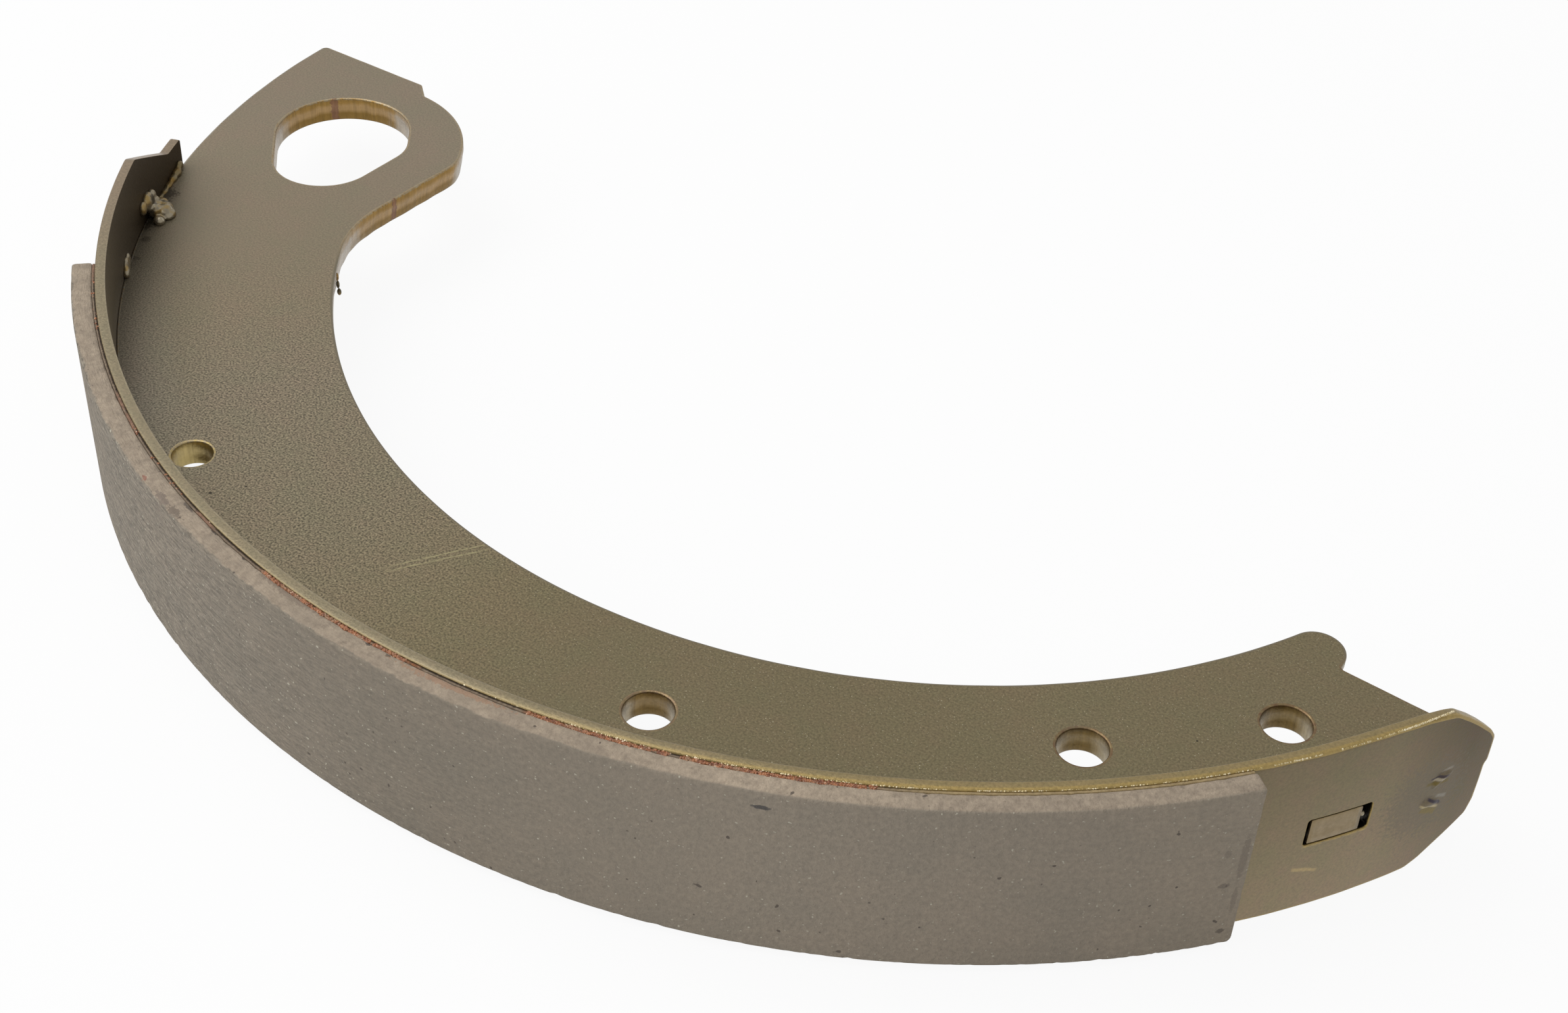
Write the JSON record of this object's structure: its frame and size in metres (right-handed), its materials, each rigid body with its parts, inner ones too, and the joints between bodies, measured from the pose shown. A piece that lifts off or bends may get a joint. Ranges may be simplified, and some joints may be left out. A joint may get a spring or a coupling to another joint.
{
  "type": "brake shoe",
  "caption": "Drum brake shoe with a punched web, an egg-shaped anchor eye, a rolled rim and a bonded friction lining.",
  "frame": {"origin": "on the drum's axis, at mid-thickness of the web", "axes": "+Z along the drum's axis, -Y towards the middle of the lining, +X towards the toe end that the adjuster bears on; the heel end with the anchor eye is at -X"},
  "size_m": [0.3279, 0.1825, 0.039],
  "materials": {
    "web_steel": "passivated, satin",
    "rim_steel": "passivated, satin",
    "friction": "matte, ground",
    "adhesive": "matte, cured",
    "weld_steel": "as welded, passivated"
  },
  "bodies": {
    "root": {"web_plate": "web_steel", "shoe_rim": "rim_steel", "friction_lining": "friction", "bond_layer": "adhesive", "weld_beads": "weld_steel"}
  },
  "joints": []
}
